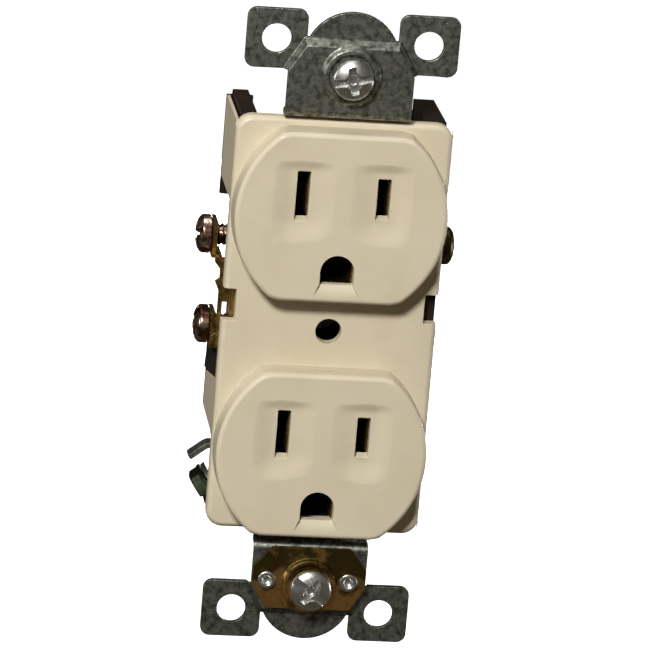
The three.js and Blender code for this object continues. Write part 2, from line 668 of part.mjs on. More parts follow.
// A drive pin along Y: a plain shank with a head at its back end only.
function drivePin(shank, head, headHeight, front, back) {
  return turnedToFront([
    [0, -back - headHeight], [head, -back - headHeight], [head, -back], [shank, -back],
    [shank, -front], [0, -front],
  ]);
}

function domedHead({ radius, height, dome, length }, segments = 32) {
  const profile = [[0, -length], [SHANK_RADIUS - 0.4, -length], [SHANK_RADIUS, -length + 0.5]];
  profile.push([SHANK_RADIUS, 0], [radius, 0], [radius, height - dome]);
  const steps = 4;
  for (let i = 1; i <= steps; i += 1) {
    const angle = (i / steps) * (Math.PI / 2);
    profile.push([radius * Math.cos(angle), height - dome + dome * Math.sin(angle)]);
  }
  profile[profile.length - 1][0] = 0;
  const slot = block([-radius - 1, radius + 1], [-0.55, 0.55], [height - 1, height + 1]);
  return turned(profile, segments).subtract(slot);
}

function mountingScrew(radius) {
  const { height } = MOUNTING_HEAD;
  const cross = block([-0.5, 0.5], [-0.55 * radius, 0.55 * radius], [height - 1.3, height + 1]);
  return domedHead({ ...MOUNTING_HEAD, radius }).subtract(cross);
}

function hexScrew() {
  const corner = GROUND_HEAD_FLATS / Math.sqrt(3);
  const head = new THREE.CylinderGeometry(corner, corner, GROUND_HEAD_HEIGHT - 0.6, 6);
  const washer = turned([[0, 0], [4.1, 0], [4.1, 0.6], [0, 0.6]]);
  const shank = turned([[0, -7], [SHANK_RADIUS, -7], [SHANK_RADIUS, 0.1], [0, 0.1]]);
  const hex = solid(head.rotateX(Math.PI / 2).translate(0, 0, GROUND_HEAD_HEIGHT / 2 + 0.2));
  const slot = block([-5, 5], [-0.55, 0.55], [GROUND_HEAD_HEIGHT - 0.9, GROUND_HEAD_HEIGHT + 1]);
  return join([washer, shank, hex]).subtract(slot);
}

// A square clamp plate that rides under a terminal screw, with one edge bent towards the terminal.
function clampPlate() {
  const half = CLAMP_HALF_WIDTH;
  const plate = block([-half, half], [CLAMP_BOTTOM, CLAMP_TOP], [-CLAMP, 0]);
  const edge = [CLAMP_BOTTOM - 0.5, CLAMP_BOTTOM + 0.1];
  const wing = block([0.2 - half, half - 0.2], edge, [-CLAMP - WING_REACH, 0]);
  const bore = solid(new THREE.CylinderGeometry(2.1, 2.1, 4, 24).rotateX(Math.PI / 2));
  return plate.add(wing).subtract(bore);
}

function roundWasher(outer, inner, thickness) {
  return turned([[inner, -thickness], [outer, -thickness], [outer, 0], [inner, 0], [inner, -thickness]]);
}

const EYELETS = { left: -6.9, right: 6.2 };
const EYELET_Z = -40.8;
const CLIP_BACK = RAISED_FRONT - GAP;
const CLIP_FRONT = CLIP_BACK - 0.5;

// A thin brass spring on the lower end of the strap, round the mounting screw.
function groundClip() {
  const outline = polygon([
    [-6.3, -35.3], [-9.1, -38.8], [-9.1, -41.8], [-6.8, -45.7], [6.8, -45.7], [9.1, -41.8],
    [9.1, -38.8], [6.3, -35.3],
  ]);
  const plate = slab(outline, CLIP_FRONT, CLIP_BACK);
  const collar = pin(0, -SCREW_HALF_SPACING, 4.3, CLIP_FRONT - 0.5, CLIP_BACK, 40);
  const bore = pin(0, -SCREW_HALF_SPACING, COLLAR_INNER_RADIUS, CLIP_FRONT - 1, CLIP_FRONT, 40);
  return cut(plate.add(collar), [
    bore,
    pin(0, -SCREW_HALF_SPACING, SHANK_RADIUS + 0.4, -6, 0),
    ...Object.values(EYELETS).map((x) => pin(x, EYELET_Z, 1.1, -6, 0)),
  ]);
}

// The threaded post for the wall plate's screw, spread over the body's floor and over the strap.
function centerBushing() {
  const bore = 1.5;
  const wall = 2.6;
  const flange = 3.4;
  const back = STRAP_BACK + STRAP + GAP;
  const front = 10;
  return turnedToFront([
    [bore, -back - 0.7], [flange, -back - 0.7], [flange, -back], [wall, -back], [wall, -FLOOR_FRONT],
    [flange, -FLOOR_FRONT], [flange, -FLOOR_FRONT + 0.7], [wall, -FLOOR_FRONT + 0.7],
    [wall, -front], [bore, -front], [bore, -back - 0.7],
  ], 24);
}

// ---------- ground terminal ----------

const BRACKET_RIVET = new THREE.Vector3(-4.8, 0, -18);

// The top of the plate curls outwards through a quarter turn and ends in a short straight tongue.
function terminalLip(start) {
  const center = start.clone().addScaledVector(OUT, LIP_BEND);
  const steps = 6;
  const rim = (radius) => {
    const points = [];
    for (let i = 0; i <= steps; i += 1) {
      const angle = (i / steps) * (Math.PI / 2);
      const point = center.clone().addScaledVector(OUT, -radius * Math.cos(angle));
      points.push(point.addScaledVector(ALONG, -radius * Math.sin(angle)));
    }
    points.push(points[steps].clone().addScaledVector(OUT, LIP_LENGTH));
    return points.map((point) => [point.x, point.z]);
  };
  const root = start.clone().addScaledVector(ALONG, 0.1);
  const inner = root.clone().addScaledVector(OUT, -STRAP);
  return polygon([
    [root.x, root.z], ...rim(LIP_BEND), ...rim(LIP_BEND + STRAP).reverse(), [inner.x, inner.z],
  ]);
}

function groundTerminal() {
  const from = GROUND_CENTER.clone().addScaledVector(ALONG, -GROUND_PLATE_UP);
  const to = GROUND_CENTER.clone().addScaledVector(ALONG, GROUND_PLATE_DOWN);
  const inward = OUT.clone().multiplyScalar(-STRAP);
  const corner = (point, shift, reach) => [point.x + shift.x * reach, point.z + shift.z * reach];
  const plate = polygon([
    corner(from, inward, 0), corner(to, inward, 0), corner(to, inward, 1), corner(from, inward, 1),
  ]);
  const footBack = STRAP_BACK + 2 * STRAP + GAP;
  const low = GROUND_CENTER.clone().addScaledVector(ALONG, -4);
  const foot = polygon([
    corner(low, inward, 0), corner(to, inward, 0), [-4, -27.5], [-2.8, -24], [-2.8, -16], [-6.8, -16],
  ]);
  const bend = polygon([
    corner(low, inward, 0), corner(to, inward, 0), corner(to, inward, 1), corner(low, inward, 1),
  ]);
  const holes = [
    groundShankHole(THREAD_HOLE_RADIUS),
    pin(BRACKET_RIVET.x, BRACKET_RIVET.z, 1.3, footBack - 3, footBack + 1),
  ];
  return cut(join([
    slab(plate, 2.6, 13),
    slab(terminalLip(from), 2.6, 5.4),
    slab(bend, 12, footBack),
    slab(foot, footBack - STRAP, footBack),
  ]), holes);
}

// ---------- assembly ----------

addPart('front_cover', frontCover(), IVORY);
addPart('back_body', backBody(), BROWN);
addPart('mounting_strap', mountingStrap(), ZINC);
addPart('neutral_bus', bus(-1), COPPER_ALLOY);
addPart('hot_bus', bus(1), COPPER_ALLOY);

['upper', 'lower'].forEach((where, i) => {
  const behindStrap = STRAP_BACK + STRAP + GAP;
  addPart(`ground_contact_${where}`, groundContact(GROUND_Z[i], GROUND_FOOT[i]), COPPER_ALLOY);
  const groundRivet = rivet(1.2, 1.7, 0.6, FLOOR_FRONT - BRASS - GAP, behindStrap);
  addPart(`ground_rivet_${where}`, groundRivet, COPPER_ALLOY).position.z = GROUND_RIVET_Z[i];
  const coverPin = drivePin(1.4, 2.6, 0.9, 0, behindStrap);
  addPart(`assembly_pin_${where}`, coverPin, ZINC).position.z = ASSEMBLY_Z[i];
});

addPart('center_bushing', centerBushing(), ZINC);
addPart('ground_terminal', groundTerminal(), ZINC);
const bracketRivet = rivet(1, 1.7, 0.5, FLOOR_FRONT, STRAP_BACK + 2 * STRAP + 2 * GAP);
addPart('ground_terminal_rivet', bracketRivet, ZINC).position.set(BRACKET_RIVET.x, 0, BRACKET_RIVET.z);

addPart('ground_clip', groundClip(), COPPER_ALLOY);
for (const [name, x] of Object.entries(EYELETS)) {
  const eyelet = rivet(0.8, 1.5, 0.5, CLIP_FRONT - GAP, RAISED_FRONT + STRAP + GAP);
  addPart(`clip_eyelet_${name}`, eyelet, BRIGHT).position.set(x, 0, EYELET_Z);
}

const UP = new THREE.Vector3(0, 0, 1);
const CLAMPED_HEAD = TERMINAL_OUTER + 0.1 + CLAMP + SEAT_GAP;
const TERMINALS = [
  { name: 'neutral_upper', side: -1, z: UPPER_TERMINAL_Z, backedOut: 3 },
  { name: 'neutral_lower', side: -1, z: LOWER_TERMINAL_Z, backedOut: 2.35 },
  { name: 'hot_upper', side: 1, z: UPPER_TERMINAL_Z, backedOut: 1.75 },
  { name: 'hot_lower', side: 1, z: LOWER_TERMINAL_Z, backedOut: 0 },
];
for (const { name, side, z, backedOut } of TERMINALS) {
  const seat = new THREE.Vector3(side * (CLAMPED_HEAD + backedOut), TERMINAL_Y, z);
  const frame = placed(seat, new THREE.Vector3(side, 0, 0), UP);
  const look = side < 0 ? BRIGHT : COPPER_ALLOY;
  addPart(`${name}_screw`, domedHead(TERMINAL_HEAD), look, frame);
  addPart(`${name}_clamp`, clampPlate(), COPPER_ALLOY, frame).position.z = -SEAT_GAP;
}

const groundSeat = GROUND_CENTER.clone().addScaledVector(OUT, 0.1 + CLAMP + SEAT_GAP + GROUND_BACKED_OUT);
const groundFrame = placed(groundSeat, OUT, ALONG.clone().negate());
addPart('ground_screw', hexScrew(), GREEN, groundFrame);
addPart('ground_clamp', roundWasher(3.9, 2.1, CLAMP), ZINC, groundFrame).position.z = -SEAT_GAP;

const MOUNTINGS = [
  { name: 'top', z: SCREW_HALF_SPACING, head: -4, radius: TOP_HEAD_RADIUS },
  { name: 'bottom', z: -SCREW_HALF_SPACING, head: -4.8, radius: BOTTOM_HEAD_RADIUS },
];
for (const { name, z, head, radius } of MOUNTINGS) {
  const frame = placed(new THREE.Vector3(0, head, z), new THREE.Vector3(0, -1, 0), UP);
  addPart(`mounting_screw_${name}`, mountingScrew(radius), BRIGHT, frame);
  const retainer = addPart(`screw_retainer_${name}`, roundWasher(4, 2, 0.8), FIBRE, frame);
  retainer.position.z = head + 0.7;
}

export default part;
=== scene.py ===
"""The looks of a duplex wall outlet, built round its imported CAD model."""

import json
import math

import bmesh
import bpy
from mathutils import Matrix, Vector


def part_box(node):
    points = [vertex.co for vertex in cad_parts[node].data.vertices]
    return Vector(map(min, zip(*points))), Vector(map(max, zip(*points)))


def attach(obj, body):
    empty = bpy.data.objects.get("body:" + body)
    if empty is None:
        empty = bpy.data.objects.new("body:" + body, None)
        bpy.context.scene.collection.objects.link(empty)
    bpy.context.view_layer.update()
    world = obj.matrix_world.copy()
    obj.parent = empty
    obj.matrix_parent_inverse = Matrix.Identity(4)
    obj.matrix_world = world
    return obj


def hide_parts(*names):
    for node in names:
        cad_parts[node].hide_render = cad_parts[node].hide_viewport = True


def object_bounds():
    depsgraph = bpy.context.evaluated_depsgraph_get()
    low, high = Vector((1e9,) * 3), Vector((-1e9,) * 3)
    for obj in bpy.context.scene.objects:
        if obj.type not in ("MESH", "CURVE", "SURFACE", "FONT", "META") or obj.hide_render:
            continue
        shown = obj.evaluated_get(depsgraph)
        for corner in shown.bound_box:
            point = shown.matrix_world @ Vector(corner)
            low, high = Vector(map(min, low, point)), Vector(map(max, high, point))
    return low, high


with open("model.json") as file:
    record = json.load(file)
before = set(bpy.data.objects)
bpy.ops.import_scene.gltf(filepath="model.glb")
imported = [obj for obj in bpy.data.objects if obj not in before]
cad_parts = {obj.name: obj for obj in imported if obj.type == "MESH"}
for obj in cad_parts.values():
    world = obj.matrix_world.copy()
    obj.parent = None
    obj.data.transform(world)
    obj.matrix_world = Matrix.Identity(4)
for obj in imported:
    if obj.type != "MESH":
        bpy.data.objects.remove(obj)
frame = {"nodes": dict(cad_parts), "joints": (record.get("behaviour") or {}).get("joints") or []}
cad_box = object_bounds()

MM = 0.001
ROOT = "body"


# ---------- places in millimetres, some read from the CAD nodes, the rest given ---


def low_high(node):
    """The lowest and highest corner of a CAD node, in millimetres."""
    low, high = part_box(node)
    return low / MM, high / MM


COVER_LOW, COVER_HIGH = low_high("front_cover")
STRAP_LOW, STRAP_HIGH = low_high("mounting_strap")
CLIP_LOW, CLIP_HIGH = low_high("ground_clip")
BODY_LOW, BODY_HIGH = low_high("back_body")
FACE_FRONT = COVER_LOW.y
HALF_WIDTH = COVER_HIGH.x
PLATE_BOTTOM, PLATE_TOP = COVER_LOW.z, COVER_HIGH.z
SCREW_Z = 41.67
FACE_Z = 19.45
SLOT_X = 6.35
SLOT_RISE = 3.4
GROUND_DROP = 8.5
PLATE_FRONT = -0.6
PLATE_BACK = 1.6
STRAP_THICK = 0.9
RAISED_FRONT = -2.2
EAR_X, EAR_Z, EAR_SIZE = 11.9, 46.8, 9.5
PITCH = 0.794


# ---------- solids, in millimetres ----------


def new_object(name, verts, faces):
    mesh = bpy.data.meshes.new(name)
    mesh.from_pydata([tuple(v) for v in verts], [], faces)
    mesh.update()
    obj = bpy.data.objects.new(name, mesh)
    bpy.context.scene.collection.objects.link(obj)
    return obj


def fix_normals(obj):
    bm = bmesh.new()
    bm.from_mesh(obj.data)
    bmesh.ops.recalc_face_normals(bm, faces=bm.faces)
    bm.to_mesh(obj.data)
    bm.free()
    return obj


def apply_modifiers(obj):
    bpy.context.view_layer.update()
    graph = bpy.context.evaluated_depsgraph_get()
    mesh = bpy.data.meshes.new_from_object(obj.evaluated_get(graph))
    old = obj.data
    obj.modifiers.clear()
    obj.data = mesh
    bpy.data.meshes.remove(old)
    return obj


def combine(target, tool, operation):
    modifier = target.modifiers.new("combine", "BOOLEAN")
    modifier.operation = operation
    modifier.solver = "EXACT"
    modifier.object = tool
    apply_modifiers(target)
    bpy.data.objects.remove(tool)
    return target


def join(target, *others):
    for other in others:
        combine(target, other, "UNION")
    return target


def cut(target, *tools):
    for tool in tools:
        combine(target, tool, "DIFFERENCE")
    return target


def box(x, y, z, name="box"):
    """A box between pairs of corners, given in any order."""
    x, y, z = sorted(x), sorted(y), sorted(z)
    verts = [(a, b, c) for a in x for b in y for c in z]
    faces = [(0, 1, 3, 2), (4, 6, 7, 5), (0, 4, 5, 1), (2, 3, 7, 6), (0, 2, 6, 4), (1, 5, 7, 3)]
    return fix_normals(new_object(name, verts, faces))


def rings(name, loops):
    """A closed solid through loops of equal length, capped at both ends."""
    count = len(loops[0])
    verts = [v for loop in loops for v in loop]
    faces = [tuple(range(count)), tuple(range(len(verts) - 1, len(verts) - count - 1, -1))]
    for level in range(len(loops) - 1):
        for i in range(count):
            j = (i + 1) % count
            a, b = level * count, (level + 1) * count
            faces.append((a + i, b + i, b + j, a + j))
    return fix_normals(new_object(name, verts, faces))


def prism(outline, front, back, name="prism"):
    """A plate between two depths, from an outline in X and Z."""
    return rings(name, [[(x, y, z) for x, z in outline] for y in (front, back)])


def bar(outline, x0, x1, name="bar"):
    """A bar between two values of X, from an outline in Y and Z."""
    return rings(name, [[(x, y, z) for y, z in outline] for x in (x0, x1)])


def inset(outline, distance):
    """An outline moved inwards, given counter-clockwise."""
    moved = []
    count = len(outline)
    for i, point in enumerate(outline):
        here = Vector(point)
        before = (here - Vector(outline[i - 1])).normalized()
        after = (Vector(outline[(i + 1) % count]) - here).normalized()
        normal = Vector((-before.y, before.x)) + Vector((-after.y, after.x))
        normal.normalize()
        stretch = max(normal.dot(Vector((-after.y, after.x))), 0.3)
        moved.append(tuple(here + normal * distance / stretch))
    return moved


def pad(outline, front, back, radius, steps=6, name="pad", lean=0.0):
    """A plate with a rounded front edge, whose sides may lean inwards towards the front."""
    loops = [[(x, back, z) for x, z in outline]]
    for i in range(steps + 1):
        angle = i / steps * math.pi / 2
        inwards = lean + radius * (1 - math.cos(angle))
        y = front + radius * (1 - math.sin(angle))
        loops.append([(x, y, z) for x, z in inset(outline, inwards)])
    return rings(name, loops)


def arc(x, z, radius, start, end, steps):
    """Points on an arc, from one angle in degrees to another."""
    angles = [math.radians(start + (end - start) * i / steps) for i in range(steps + 1)]
    return [(x + radius * math.cos(a), z + radius * math.sin(a)) for a in angles]


def rounded(x0, x1, z0, z1, radius, steps=6):
    """A rectangle with round corners, counter-clockwise."""
    return (
        arc(x1 - radius, z1 - radius, radius, 0, 90, steps)
        + arc(x0 + radius, z1 - radius, radius, 90, 180, steps)
        + arc(x0 + radius, z0 + radius, radius, 180, 270, steps)
        + arc(x1 - radius, z0 + radius, radius, 270, 360, steps)
    )


def rod(start, end, radius, segments=32, name="rod", far_radius=None):
    """A round bar or cone between two points."""
    start, end = Vector(start), Vector(end)
    far_radius = radius if far_radius is None else far_radius
    turn = (end - start).to_track_quat("Z", "Y")
    loops = []
    for point, size in ((start, radius), (end, far_radius)):
        loop = []
        for i in range(segments):
            angle = 2 * math.pi * i / segments
            loop.append(point + turn @ Vector((size * math.cos(angle), size * math.sin(angle), 0)))
        loops.append(loop)
    return rings(name, loops)


def hole(x, z, radius, front, back, segments=32):
    return rod((x, front, z), (x, back, z), radius, segments)


def lathe(profile, segments=48, name="lathe"):
    """A turned solid round local Z. The profile runs from the axis, or closes on itself."""
    solid_core = profile[0][0] == 0
    inner = profile[1:-1] if solid_core else profile
    verts, faces = [], []
    for radius, height in inner:
        for i in range(segments):
            angle = 2 * math.pi * i / segments
            verts.append((radius * math.cos(angle), radius * math.sin(angle), height))
    levels = len(inner)
    for level in range(levels - 1 if solid_core else levels):
        upper = (level + 1) % levels
        for i in range(segments):
            j = (i + 1) % segments
            below, above = level * segments, upper * segments
            faces.append((below + i, below + j, above + j, above + i))
    if solid_core:
        faces.append(tuple(range(segments)))
        faces.append(tuple(range(levels * segments - 1, (levels - 1) * segments - 1, -1)))
    return fix_normals(new_object(name, verts, faces))


def round_corner(profile, radius, steps=4):
    """A turned profile with its corners rounded off."""
    smooth = [profile[0]]
    for before, here, after in zip(profile, profile[1:], profile[2:]):
        a, b, c = Vector(before), Vector(here), Vector(after)
        reach = min(radius, (a - b).length * 0.45, (c - b).length * 0.45)
        start, end = b + (a - b).normalized() * reach, b + (c - b).normalized() * reach
        for i in range(steps + 1):
            t = i / steps
            smooth.append(tuple(start * (1 - t) ** 2 + b * 2 * t * (1 - t) + end * t ** 2))
    smooth.append(profile[-1])
    return smooth


def thread(radius, length, depth=0.32, segments=28, rows=8, name="thread"):
    """A right-handed threaded shank, from local Z = -length up to just inside its head."""
    top = 0.4
    count = int((length + top) / PITCH * rows)
    loops = []
    for k in range(count + 1):
        z = -length + (length + top) * k / count
        point = min(1.0, 0.62 + 0.38 * (z + length) / 1.2)
        loop = []
        for i in range(segments):
            turn = z / PITCH - i / segments
            wave = abs((turn % 1.0) * 2 - 1)
            groove = depth * min(1.0, max(0.0, (wave - 0.12) / 0.76))
            size = (radius - groove) * point
            angle = 2 * math.pi * i / segments
            loop.append((size * math.cos(angle), size * math.sin(angle), z))
        loops.append(loop)
    return rings(name, loops)


# ---------- finishing a piece ----------


def soften(obj, width, angle=28, segments=3):
    """Rounds off a piece's edges."""
    modifier = obj.modifiers.new("soften", "BEVEL")
    modifier.width = width
    modifier.segments = segments
    modifier.limit_method = "ANGLE"
    modifier.angle_limit = math.radians(angle)
    modifier.use_clamp_overlap = False
    modifier.miter_outer = "MITER_ARC"
    return apply_modifiers(obj)


def shade(obj, angle=38):
    """Smooth shading, sharp across corners, with flat faces kept flat."""
    bm = bmesh.new()
    bm.from_mesh(obj.data)
    for face in bm.faces:
        face.smooth = True
    for edge in bm.edges:
        edge.smooth = len(edge.link_faces) == 2 and edge.calc_face_angle(0) < math.radians(angle)
    bm.to_mesh(obj.data)
    bm.free()
    modifier = obj.modifiers.new("flatten", "WEIGHTED_NORMAL")
    modifier.keep_sharp = True
    modifier.weight = 80
    return apply_modifiers(obj)


def tidy(obj):
    """Merges doubled points and drops faces with no area."""
    bm = bmesh.new()
    bm.from_mesh(obj.data)
    bmesh.ops.remove_doubles(bm, verts=bm.verts, dist=0.002)
    bmesh.ops.dissolve_degenerate(bm, edges=bm.edges, dist=0.002)
    bm.to_mesh(obj.data)
    bm.free()
    return obj


def place(obj, origin, outward, up):
    """Turns a piece so that its local Z points outwards, and moves it to its seat."""
    outward, up = Vector(outward).normalized(), Vector(up).normalized()
    across = up.cross(outward)
    turn = Matrix((across, up, outward)).transposed().to_4x4()
    obj.data.transform(Matrix.Translation(Vector(origin)) @ turn)
    return obj


def hand_in(obj, node, body, material, name=None):
    """Brings a piece to metres, names it after its first CAD node, gives it its body and material, and hides
    its CAD nodes.
    """
    nodes = [node] if isinstance(node, str) else list(node)
    obj.name = name or f"{nodes[0]}_look"
    obj.data.name = obj.name
    obj.data.transform(Matrix.Scale(MM, 4))
    obj.data.materials.clear()
    obj.data.materials.append(material)
    for polygon in obj.data.polygons:
        polygon.material_index = 0
    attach(obj, body)
    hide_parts(*nodes)
    return obj


def copy_of_node(node):
    """A CAD node's shape as a new piece in millimetres, with its flat faces merged and then cut into
    triangles where they have more than four corners.
    """
    bm = bmesh.new()
    bm.from_mesh(frame["nodes"][node].data)
    bmesh.ops.scale(bm, vec=(1 / MM,) * 3, verts=bm.verts)
    bmesh.ops.remove_doubles(bm, verts=bm.verts, dist=0.003)
    bmesh.ops.dissolve_limit(
        bm, angle_limit=math.radians(1.5), verts=bm.verts, edges=bm.edges, use_dissolve_boundaries=False
    )
    bmesh.ops.triangulate(bm, faces=[face for face in bm.faces if len(face.verts) > 4])
    mesh = bpy.data.meshes.new(node)
    bm.to_mesh(mesh)
    bm.free()
    obj = bpy.data.objects.new(node, mesh)
    bpy.context.scene.collection.objects.link(obj)
    return obj


# ---------- materials ----------


class Paint:
    """A node material, with short calls for the nodes that the finishes share."""

    def __init__(self, name):
        self.material = bpy.data.materials.new(name)
        self.material.use_nodes = True
        self.tree = self.material.node_tree
        self.tree.nodes.clear()
        self.shader = self.node("ShaderNodeBsdfPrincipled")
        output = self.node("ShaderNodeOutputMaterial")
        self.link(self.shader.outputs[0], output.inputs[0])
        self.place = self.node("ShaderNodeTexCoord").outputs["Object"]

    def node(self, kind, **settings):
        made = self.tree.nodes.new(kind)
        for key, value in settings.items():
            setattr(made, key, value)
        return made

    def link(self, source, target):
        self.tree.links.new(source, target)

    def put(self, target, value):
        """Links a socket, or sets a constant."""
        if isinstance(value, bpy.types.NodeSocket):
            self.link(value, target)
        elif isinstance(value, tuple) and len(value) == 3 and target.type == "RGBA":
            target.default_value = (*value, 1)
        else:
            target.default_value = value

    def spread(self, stretch):
        mapping = self.node("ShaderNodeMapping")
        mapping.inputs["Scale"].default_value = Vector(stretch) / MM
        self.link(self.place, mapping.inputs["Vector"])
        return mapping.outputs[0]

    def noise(self, scale, detail=3.0, rough=0.55, stretch=(1, 1, 1)):
        made = self.node("ShaderNodeTexNoise")
        self.link(self.spread(stretch), made.inputs["Vector"])
        made.inputs["Scale"].default_value = scale
        made.inputs["Detail"].default_value = detail
        made.inputs["Roughness"].default_value = rough
        return made.outputs[0]

    def cells(self, scale, feature="F1", stretch=(1, 1, 1)):
        made = self.node("ShaderNodeTexVoronoi", feature=feature)
        self.link(self.spread(stretch), made.inputs["Vector"])
        made.inputs["Scale"].default_value = scale
        return made.outputs["Color" if feature == "F1" else "Distance"]

    def grey(self, colour):
        made = self.node("ShaderNodeRGBToBW")
        self.link(colour, made.inputs[0])
        return made.outputs[0]

    def ramp(self, value, low, high, to_low=0.0, to_high=1.0):
        made = self.node("ShaderNodeMapRange", interpolation_type="SMOOTHSTEP")
        self.link(value, made.inputs["Value"])
        for key, number in zip(("From Min", "From Max", "To Min", "To Max"), (low, high, to_low, to_high)):
            made.inputs[key].default_value = number
        return made.outputs[0]

    def mix(self, amount, a, b, blend="MIX"):
        made = self.node("ShaderNodeMix", data_type="RGBA", blend_type=blend)
        self.put(made.inputs[0], amount)
        self.put(made.inputs[6], a)
        self.put(made.inputs[7], b)
        return made.outputs[2]

    def maths(self, operation, a, b=0.0):
        made = self.node("ShaderNodeMath", operation=operation)
        self.put(made.inputs[0], a)
        self.put(made.inputs[1], b)
        return made.outputs[0]

    def height(self):
        made = self.node("ShaderNodeSeparateXYZ")
        self.link(self.place, made.inputs[0])
        return made.outputs["Z"]

    def bump(self, layers):
        """Stacks heights in millimetres, each a value and the height of its relief."""
        normal = None
        for value, height in layers:
            made = self.node("ShaderNodeBump")
            made.inputs["Distance"].default_value = height * MM
            self.link(value, made.inputs["Height"])
            if normal is not None:
                self.link(normal, made.inputs["Normal"])
            normal = made.outputs[0]
        self.link(normal, self.shader.inputs["Normal"])

    def set(self, **sockets):
        for key, value in sockets.items():
            self.put(self.shader.inputs[key.replace("_", " ").title()], value)
        return self.material


def plastic(name, base, shade_colour, worn, rough, grain, sss=0.0, gloss=0.42):
    """Moulded plastic: faint flow marks, specks, paler rubbed patches, fine mould texture."""
    paint = Paint(name)
    flow = paint.ramp(paint.noise(0.09, 4, 0.6), 0.35, 0.7)
    colour = paint.mix(flow, base, shade_colour)
    speck = paint.ramp(paint.noise(1.9, 2, 0.5), 0.72, 0.8, 0, 0.25)
    colour = paint.mix(speck, colour, tuple(c * 0.55 for c in base))
    rubbed = paint.ramp(paint.noise(0.14, 5, 0.7), 0.56, 0.74, 0, 0.35)
    colour = paint.mix(rubbed, colour, worn)
    smear = paint.noise(0.25, 4, 0.65, (1, 1, 0.4))
    roughness = paint.ramp(smear, 0.3, 0.75, rough - 0.06, rough + 0.1)
    fine = paint.noise(grain, 3, 0.6)
    broad = paint.noise(0.22, 2, 0.5)
    scratch = paint.ramp(paint.noise(0.5, 5, 0.7, (7, 7, 0.5)), 0.68, 0.74)
    paint.bump([(fine, 0.018), (broad, 0.05), (scratch, -0.006)])
    paint.set(base_color=colour, roughness=roughness, metallic=0.0)
    paint.shader.inputs["Specular IOR Level"].default_value = gloss
    if sss:
        paint.shader.inputs["Subsurface Weight"].default_value = sss
        paint.shader.inputs["Subsurface Radius"].default_value = (0.0012, 0.0009, 0.0005)
        paint.shader.inputs["Subsurface Scale"].default_value = 0.6
    return paint.material


def metal(
    name, dark, light, worn, rough, patch, contrast=(0.35, 0.7), lines=(6, 6, 0.4), spangle=0.0, painted_shade_heights=None
):
    """Plated or rolled metal: patches of a dark and a light tone (tarnish, and on the coppered screws
    painted highlights), rolling lines, scratches and brighter rubbed spots.

    With heights given, painted shade darkens the colour at the first height and gives way to a lighter tone
    by the second, in metres."""
    paint = Paint(name)
    cloud = paint.noise(patch, 5, 0.62)
    # Painted shade: the tone is pulled darker at the first height and lighter by the second.
    if painted_shade_heights:
        cloud = paint.maths("ADD", cloud, paint.ramp(paint.height(), *painted_shade_heights, -0.1, 0.14))
    if spangle:
        crystals = paint.grey(paint.cells(patch * 2.2))
        crystals = paint.maths("MULTIPLY", crystals, spangle)
        cloud = paint.maths("ADD", paint.maths("MULTIPLY", cloud, 1 - spangle), crystals)
    tone = paint.ramp(cloud, *contrast)
    colour = paint.mix(tone, dark, light)
    rolled = paint.noise(1.1, 4, 0.6, lines)
    colour = paint.mix(paint.ramp(rolled, 0.45, 0.75, 0, 0.35), colour, tuple(c * 0.7 for c in dark))
    spots = paint.ramp(paint.noise(2.6, 3, 0.5), 0.66, 0.74, 0, 0.6)
    colour = paint.mix(spots, colour, tuple(c * 0.4 for c in dark))
    colour = paint.mix(paint.ramp(paint.noise(0.21, 6, 0.72), 0.56, 0.72, 0, 0.4), colour, worn)
    roughness = paint.ramp(cloud, 0.3, 0.75, rough + 0.12, rough - 0.05)
    scratch = paint.ramp(paint.noise(0.8, 5, 0.7, (0.6, 1, 9)), 0.66, 0.72)
    dents = paint.noise(patch * 0.8, 2, 0.5)
    paint.bump([(rolled, 0.008), (dents, 0.05), (scratch, -0.01), (paint.noise(7.0, 2, 0.5), 0.004)])
    return paint.set(base_color=colour, roughness=roughness, metallic=1.0)


def fibre_material(name):
    """Pressed fibre board, with short hairs in every direction."""
    paint = Paint(name)
    hair = paint.noise(2.2, 4, 0.7, (1, 1, 5))
    across = paint.noise(2.2, 4, 0.7, (5, 1, 1))
    colour = paint.mix(paint.ramp(hair, 0.35, 0.7), (0.05, 0.03, 0.018), (0.13, 0.075, 0.04))
    colour = paint.mix(paint.ramp(across, 0.55, 0.75, 0, 0.5), colour, (0.18, 0.12, 0.07))
    paint.bump([(hair, 0.03), (across, 0.03)])
    return paint.set(base_color=colour, roughness=paint.ramp(hair, 0.3, 0.7, 0.7, 0.9), metallic=0.0)


IVORY = plastic(
    "ivory_plastic", (0.63, 0.55, 0.40), (0.595, 0.515, 0.365), (0.69, 0.61, 0.48), 0.42, 2.6, 0.05
)
BROWN = plastic(
    "brown_plastic", (0.013, 0.008, 0.006), (0.018, 0.011, 0.008), (0.035, 0.024, 0.018), 0.5, 1.8,
    gloss=0.2,
)
ZINC = metal(
    "zinc_strap", (0.075, 0.078, 0.066), (0.47, 0.48, 0.42), (0.60, 0.60, 0.55), 0.42, 0.95,
    (0.33, 0.74), (4, 4, 1), 0.1,
)
STEEL = metal("plain_steel", (0.16, 0.16, 0.15), (0.34, 0.34, 0.32), (0.6, 0.6, 0.58), 0.34, 0.5)
BRIGHT = metal("bright_plate", (0.55, 0.55, 0.52), (0.93, 0.93, 0.90), (0.97, 0.97, 0.95), 0.26, 0.6)
BRASS = metal("rolled_brass", (0.17, 0.105, 0.025), (0.78, 0.54, 0.18), (0.9, 0.7, 0.36), 0.25, 0.6)
